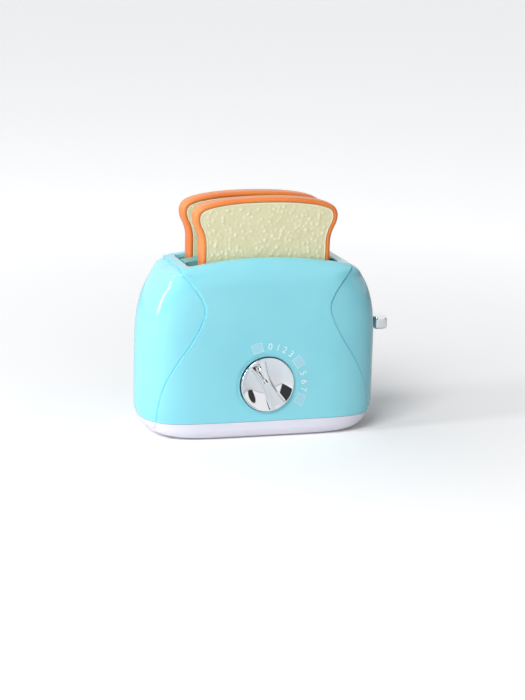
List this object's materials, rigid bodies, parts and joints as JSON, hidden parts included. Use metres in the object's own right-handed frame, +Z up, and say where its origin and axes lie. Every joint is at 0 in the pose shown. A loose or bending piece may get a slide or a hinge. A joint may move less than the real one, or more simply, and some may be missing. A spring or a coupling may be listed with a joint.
{
  "type": "toy toaster",
  "caption": "Toy pop-up toaster with a wind-up dial, a push-down lever, a bread carriage and toy slices of bread.",
  "frame": {"origin": "middle of the flat resting face under the base", "axes": "+X towards the end with the lever, -Y towards the front with the dial, +Z up"},
  "size_m": [0.2057, 0.0786, 0.1877],
  "materials": {
    "turquoise_abs": "glossy moulded",
    "white_abs": "glossy moulded",
    "crust_plastic": "satin moulded",
    "crumb_plastic": "satin moulded with small bumps",
    "chrome_plate": "mirror plated",
    "steel": "drawn",
    "brass": "stamped",
    "white_nylon": "moulded"
  },
  "bodies": {
    "housing": {"front_shell": "turquoise_abs", "rear_shell": "turquoise_abs", "base_tray": "white_abs", "slot_frame": "turquoise_abs", "guide_rod_left": "steel", "guide_rod_right": "steel", "timer_front_plate": "brass", "timer_back_plate": "brass", "timer_pillar_1": "steel", "timer_pillar_2": "steel", "timer_pillar_3": "steel", "timer_pillar_4": "steel", "mainspring": "steel", "latch_pin": "steel", "base_screw_1": "steel", "base_screw_2": "steel", "base_screw_3": "steel", "base_screw_4": "steel", "rear_screw_1": "steel", "rear_screw_2": "steel", "rear_screw_3": "steel", "rear_screw_4": "steel", "timer_screw_left": "steel", "timer_screw_right": "steel", "return_spring": "steel"},
    "carriage": {"carriage_end_left": "white_nylon", "carriage_end_right": "white_nylon", "front_rack": "white_nylon", "rear_rack": "white_nylon", "lever_knob": "chrome_plate"},
    "front_slice": {"front_slice_crust": "crust_plastic", "front_slice_front_crumb": "crumb_plastic", "front_slice_rear_crumb": "crumb_plastic"},
    "rear_slice": {"rear_slice_crust": "crust_plastic", "rear_slice_front_crumb": "crumb_plastic", "rear_slice_rear_crumb": "crumb_plastic"},
    "dial": {"dial_knob": "chrome_plate", "dial_shaft": "steel", "drive_gear": "white_nylon", "release_cam": "white_nylon"},
    "first_arbor": {"pinion_arbor": "brass", "second_wheel": "white_nylon"},
    "fly": {"fly_arbor": "brass", "governor_fly": "white_nylon"},
    "latch": {"latch_lever": "white_nylon"}
  },
  "joints": [
    {"name": "lever_slide", "type": "slide", "parent": "housing", "child": "carriage", "axis": [0, 0, -1], "range_m": [0, 0.04], "stiffness_N_per_m": 60, "springref_m": -0.045, "deforming": ["return_spring"]},
    {"name": "front_slice_lift", "type": "slide", "parent": "carriage", "child": "front_slice", "axis": [0, 0, 1], "range_m": [0, 0.105]},
    {"name": "rear_slice_lift", "type": "slide", "parent": "carriage", "child": "rear_slice", "axis": [0, 0, 1], "range_m": [0, 0.105]},
    {"name": "dial_turn", "type": "hinge", "parent": "housing", "child": "dial", "pos_m": [0, -0.04, 0.0432], "axis": [0, 1, 0], "range_deg": [0, 145], "stiffness_Nm_per_rad": 0.01, "springref_deg": -34.38},
    {"name": "first_arbor_spin", "type": "hinge", "parent": "housing", "child": "first_arbor", "pos_m": [-0.01114, -0.0299, 0.0354], "axis": [0, 1, 0], "range_deg": [-350, 0]},
    {"name": "fly_spin", "type": "hinge", "parent": "housing", "child": "fly", "pos_m": [-0.02392, -0.0299, 0.03075], "axis": [0, 1, 0], "range_deg": [0, 840]},
    {"name": "latch_rock", "type": "hinge", "parent": "housing", "child": "latch", "pos_m": [0.0575, -0.0271, 0.0617], "axis": [0, 1, 0], "range_deg": [-5, 0]}
  ],
  "couplings": [
    {"joint": "first_arbor_spin", "follows": "dial_turn", "ratio": -2.4},
    {"joint": "fly_spin", "follows": "dial_turn", "ratio": 5.76},
    {"joint": "latch_rock", "follows": "dial_turn", "ratio": -0.034483}
  ]
}
